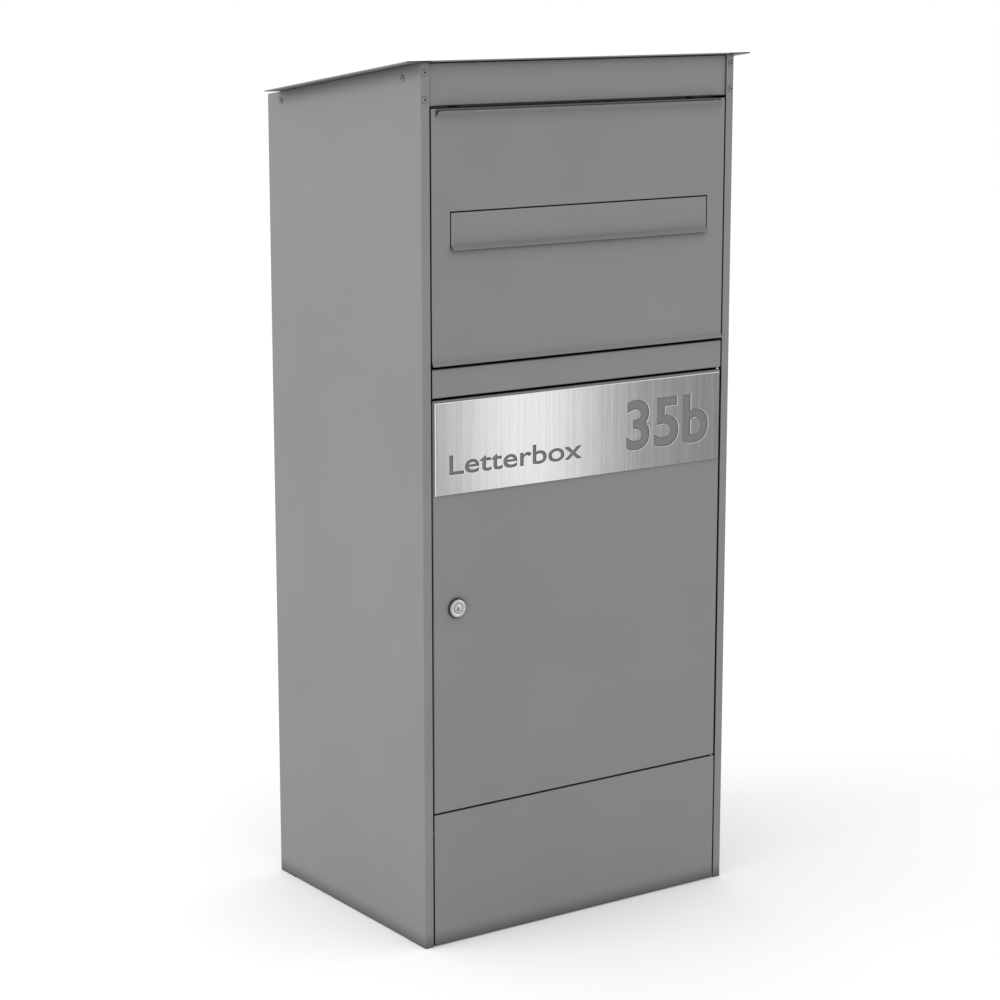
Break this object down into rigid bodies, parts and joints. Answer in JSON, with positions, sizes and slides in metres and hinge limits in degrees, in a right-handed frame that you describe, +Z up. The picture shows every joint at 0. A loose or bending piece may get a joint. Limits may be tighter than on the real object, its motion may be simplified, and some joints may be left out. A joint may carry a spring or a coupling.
{
  "type": "free-standing parcel and letter box",
  "caption": "Tall folded-steel parcel and letter box: tipping parcel flap with a letter flap in it, hopper, locked door with a stainless name plate, fixed plinth and a sloping roof sheet.",
  "frame": {"origin": "on the ground at the middle of the overall footprint, which runs from the tip of the parcel flap's grip lip to the back of the roof sheet", "axes": "+Z up, -Y out of the front face, +X to the right of a person facing the front"},
  "size_m": [0.519, 0.3686, 1.0996],
  "materials": {
    "grey_powder_coat": "satin fine-texture powder coat",
    "zinc_plated_steel": "zinc plated",
    "brushed_stainless": "vertically brushed stainless",
    "nickel_plate": "satin nickel plate",
    "black_nylon": "matt moulded nylon",
    "black_rubber": "matt rubber"
  },
  "bodies": {
    "housing": {"side_panel_left": "grey_powder_coat", "side_panel_right": "grey_powder_coat", "back_panel": "grey_powder_coat", "compartment_floor": "grey_powder_coat", "roof_sheet": "grey_powder_coat", "mid_rail": "grey_powder_coat", "plinth_panel": "grey_powder_coat", "flange_rivet_left_upper": "grey_powder_coat", "flange_rivet_left_lower": "grey_powder_coat", "flange_rivet_right_upper": "grey_powder_coat", "flange_rivet_right_lower": "grey_powder_coat", "roof_rivet_left_front": "grey_powder_coat", "roof_rivet_left_rear": "grey_powder_coat", "roof_rivet_right_front": "grey_powder_coat", "roof_rivet_right_rear": "grey_powder_coat", "base_plate": "zinc_plated_steel", "roof_bracket_left": "zinc_plated_steel", "roof_bracket_right": "zinc_plated_steel", "door_strike": "zinc_plated_steel", "flap_stop": "zinc_plated_steel", "anti_theft_guard": "zinc_plated_steel", "flap_bush_left": "black_nylon", "flap_bush_right": "black_nylon", "flap_buffer_left": "black_rubber", "flap_buffer_right": "black_rubber"},
    "parcel_flap": {"parcel_flap_panel": "grey_powder_coat", "flap_stiffener": "grey_powder_coat", "hopper_chute": "zinc_plated_steel", "hopper_cheek_left": "zinc_plated_steel", "hopper_cheek_right": "zinc_plated_steel", "flap_pin_left": "zinc_plated_steel", "flap_pin_right": "zinc_plated_steel", "letter_frame": "zinc_plated_steel", "letter_lug_left": "zinc_plated_steel", "letter_lug_right": "zinc_plated_steel"},
    "letter_flap": {"letter_flap_panel": "grey_powder_coat", "letter_flap_rod": "zinc_plated_steel"},
    "door": {"door_panel": "grey_powder_coat", "door_pin_top": "zinc_plated_steel", "door_pin_bottom": "zinc_plated_steel", "door_stiffener": "zinc_plated_steel", "name_plate": "brushed_stainless", "lock_body": "nickel_plate", "lock_washer": "black_rubber", "lock_nut": "zinc_plated_steel"},
    "lock": {"lock_plug": "nickel_plate", "lock_cam": "zinc_plated_steel", "cam_screw": "zinc_plated_steel"}
  },
  "joints": [
    {"name": "parcel_flap_hinge", "type": "hinge", "parent": "housing", "child": "parcel_flap", "pos_m": [0, -0.17021, 0.7565], "axis": [1, 0, 0], "range_deg": [0, 55]},
    {"name": "letter_flap_hinge", "type": "hinge", "parent": "parcel_flap", "child": "letter_flap", "pos_m": [0, -0.17321, 0.912], "axis": [-1, 0, 0], "range_deg": [0, 75]},
    {"name": "door_hinge", "type": "hinge", "parent": "housing", "child": "door", "pos_m": [0.22, -0.17501, 0.434], "axis": [0, 0, 1], "range_deg": [0, 95]},
    {"name": "lock_turn", "type": "hinge", "parent": "door", "child": "lock", "pos_m": [-0.1891, -0.17821, 0.4337], "axis": [0, -1, 0], "range_deg": [0, 90]}
  ]
}
